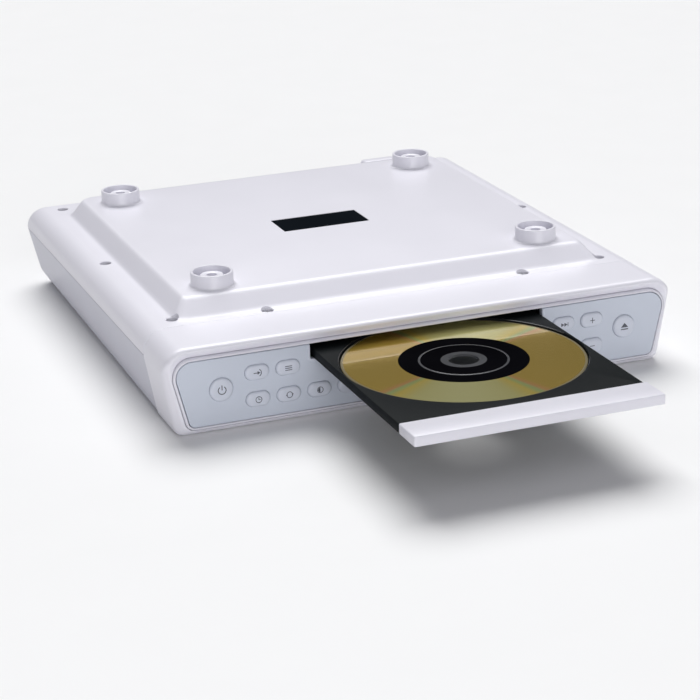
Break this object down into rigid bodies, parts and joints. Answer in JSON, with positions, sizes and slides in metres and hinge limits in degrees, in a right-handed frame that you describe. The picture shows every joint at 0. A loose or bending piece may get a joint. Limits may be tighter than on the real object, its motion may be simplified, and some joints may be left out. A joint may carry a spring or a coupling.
{
  "type": "under-cabinet cd radio",
  "caption": "Flat white under-cabinet radio with screw bosses on its top, an inverted-trapezoid key fascia and a motor-driven disc tray standing open.",
  "frame": {"origin": "centre of the housing's flat underside", "axes": "-Y towards the front fascia and the open tray, +Z towards the cabinet bosses, +X to the right seen from the front"},
  "size_m": [0.2776, 0.4274, 0.0629],
  "materials": {
    "white_plastic": "satin gloss white with a lavender cast",
    "shell_plastic": "satin",
    "fascia_plastic": "matte pale blue grey",
    "key_plastic": "matte pale blue grey",
    "black_plastic": "satin black",
    "grey_plastic": "matte",
    "display_lens": "clear dark gloss",
    "disc_face": "gold mirror with fine tracks",
    "label_print": "satin black film",
    "steel": "plated",
    "acetal": "natural",
    "rubber": "matte",
    "circuit_board": "solder mask",
    "speaker_paper": "pressed paper",
    "optical_lens": "coated"
  },
  "bodies": {
    "housing": {"bottom_case": "shell_plastic", "top_cover": "white_plastic", "front_bezel": "white_plastic", "fascia_frame": "white_plastic", "fascia_panel": "fascia_plastic", "display_window": "display_lens", "display_module": "grey_plastic", "key_board": "circuit_board", "main_board": "circuit_board", "rating_label": "label_print", "speaker_grille_left": "black_plastic", "speaker_grille_right": "black_plastic", "speaker_frame_left": "steel", "speaker_frame_right": "steel", "speaker_cone_left": "speaker_paper", "speaker_cone_right": "speaker_paper", "dc_socket": "black_plastic", "line_in_socket": "black_plastic", "loading_motor": "steel", "loading_belt": "rubber", "loader_base": "black_plastic", "clamp_bridge": "black_plastic", "screw_front_left": "steel", "screw_front_right": "steel", "screw_corner_front_left": "steel", "screw_corner_front_right": "steel", "screw_side_left": "steel", "screw_side_right": "steel", "screw_corner_rear_left": "steel", "screw_corner_rear_right": "steel"},
    "tray_body": {"tray": "black_plastic", "tray_flap": "white_plastic"},
    "disc_body": {"disc": "disc_face"},
    "drive_gear_body": {"drive_gear": "acetal"},
    "pulley_gear_body": {"pulley_gear": "acetal"},
    "motor_pulley_body": {"motor_pulley": "acetal"},
    "clamp_body": {"clamp_disc": "white_plastic"},
    "traverse": {"traverse_deck": "steel", "spindle_motor": "steel", "guide_rod": "steel", "feed_motor": "grey_plastic"},
    "turntable_body": {"turntable": "black_plastic"},
    "pickup": {"pickup_sled": "steel", "pickup_lens": "optical_lens"},
    "feed_screw_body": {"feed_screw": "steel"},
    "key_power_body": {"key_power": "key_plastic"},
    "key_source_body": {"key_source": "key_plastic"},
    "key_timer_body": {"key_timer": "key_plastic"},
    "key_program_body": {"key_program": "key_plastic"},
    "key_repeat_body": {"key_repeat": "key_plastic"},
    "key_dimmer_body": {"key_dimmer": "key_plastic"},
    "key_snooze_body": {"key_snooze": "key_plastic"},
    "key_play_body": {"key_play": "key_plastic"},
    "key_stop_body": {"key_stop": "key_plastic"},
    "key_previous_body": {"key_previous": "key_plastic"},
    "key_next_body": {"key_next": "key_plastic"},
    "key_volume_down_body": {"key_volume_down": "key_plastic"},
    "key_volume_up_body": {"key_volume_up": "key_plastic"},
    "key_eject_body": {"key_eject": "key_plastic"}
  },
  "joints": [
    {"name": "tray_slide", "type": "slide", "parent": "housing", "child": "tray_body", "axis": [0, 1, 0], "range_m": [0, 0.132]},
    {"name": "disc_spin", "type": "hinge", "parent": "tray_body", "child": "disc_body", "pos_m": [0, -0.1917, 0.0357], "axis": [0, 0, 1], "continuous": true},
    {"name": "drive_gear_spin", "type": "hinge", "parent": "housing", "child": "drive_gear_body", "pos_m": [-0.0454, -0.1185, 0.03], "axis": [0, 0, 1], "continuous": true},
    {"name": "pulley_gear_spin", "type": "hinge", "parent": "housing", "child": "pulley_gear_body", "pos_m": [-0.031, -0.1185, 0.0235], "axis": [0, 0, 1], "continuous": true},
    {"name": "motor_pulley_spin", "type": "hinge", "parent": "housing", "child": "motor_pulley_body", "pos_m": [-0.004, -0.1185, 0.0235], "axis": [0, 0, 1], "continuous": true},
    {"name": "clamp_spin", "type": "hinge", "parent": "housing", "child": "clamp_body", "pos_m": [0, -0.0597, 0.042], "axis": [0, 0, 1], "continuous": true},
    {"name": "traverse_lift", "type": "slide", "parent": "housing", "child": "traverse", "axis": [0, 0, 1], "range_m": [0, 0.005]},
    {"name": "turntable_spin", "type": "hinge", "parent": "traverse", "child": "turntable_body", "pos_m": [0, -0.0597, 0.029], "axis": [0, 0, 1], "continuous": true},
    {"name": "pickup_feed", "type": "slide", "parent": "traverse", "child": "pickup", "axis": [0, 1, 0], "range_m": [0, 0.033]},
    {"name": "feed_screw_spin", "type": "hinge", "parent": "traverse", "child": "feed_screw_body", "pos_m": [0.022, -0.01545, 0.0247], "axis": [0, 1, 0], "continuous": true},
    {"name": "key_power_press", "type": "slide", "parent": "housing", "child": "key_power_body", "axis": [0, 1, 0], "range_m": [0, 0.0005], "stiffness_N_per_m": 400},
    {"name": "key_source_press", "type": "slide", "parent": "housing", "child": "key_source_body", "axis": [0, 1, 0], "range_m": [0, 0.0005], "stiffness_N_per_m": 400},
    {"name": "key_timer_press", "type": "slide", "parent": "housing", "child": "key_timer_body", "axis": [0, 1, 0], "range_m": [0, 0.0005], "stiffness_N_per_m": 400},
    {"name": "key_program_press", "type": "slide", "parent": "housing", "child": "key_program_body", "axis": [0, 1, 0], "range_m": [0, 0.0005], "stiffness_N_per_m": 400},
    {"name": "key_repeat_press", "type": "slide", "parent": "housing", "child": "key_repeat_body", "axis": [0, 1, 0], "range_m": [0, 0.0005], "stiffness_N_per_m": 400},
    {"name": "key_dimmer_press", "type": "slide", "parent": "housing", "child": "key_dimmer_body", "axis": [0, 1, 0], "range_m": [0, 0.0005], "stiffness_N_per_m": 400},
    {"name": "key_snooze_press", "type": "slide", "parent": "housing", "child": "key_snooze_body", "axis": [0, 1, 0], "range_m": [0, 0.0005], "stiffness_N_per_m": 400},
    {"name": "key_play_press", "type": "slide", "parent": "housing", "child": "key_play_body", "axis": [0, 1, 0], "range_m": [0, 0.0005], "stiffness_N_per_m": 400},
    {"name": "key_stop_press", "type": "slide", "parent": "housing", "child": "key_stop_body", "axis": [0, 1, 0], "range_m": [0, 0.0005], "stiffness_N_per_m": 400},
    {"name": "key_previous_press", "type": "slide", "parent": "housing", "child": "key_previous_body", "axis": [0, 1, 0], "range_m": [0, 0.0005], "stiffness_N_per_m": 400},
    {"name": "key_next_press", "type": "slide", "parent": "housing", "child": "key_next_body", "axis": [0, 1, 0], "range_m": [0, 0.0005], "stiffness_N_per_m": 400},
    {"name": "key_volume_down_press", "type": "slide", "parent": "housing", "child": "key_volume_down_body", "axis": [0, 1, 0], "range_m": [0, 0.0005], "stiffness_N_per_m": 400},
    {"name": "key_volume_up_press", "type": "slide", "parent": "housing", "child": "key_volume_up_body", "axis": [0, 1, 0], "range_m": [0, 0.0005], "stiffness_N_per_m": 400},
    {"name": "key_eject_press", "type": "slide", "parent": "housing", "child": "key_eject_body", "axis": [0, 1, 0], "range_m": [0, 0.0005], "stiffness_N_per_m": 400}
  ],
  "couplings": [
    {"joint": "drive_gear_spin", "follows": "tray_slide", "rad_per_m": -104.17},
    {"joint": "pulley_gear_spin", "follows": "tray_slide", "rad_per_m": 208.33},
    {"joint": "motor_pulley_spin", "follows": "tray_slide", "rad_per_m": 625},
    {"joint": "feed_screw_spin", "follows": "pickup_feed", "rad_per_m": 523.6}
  ]
}
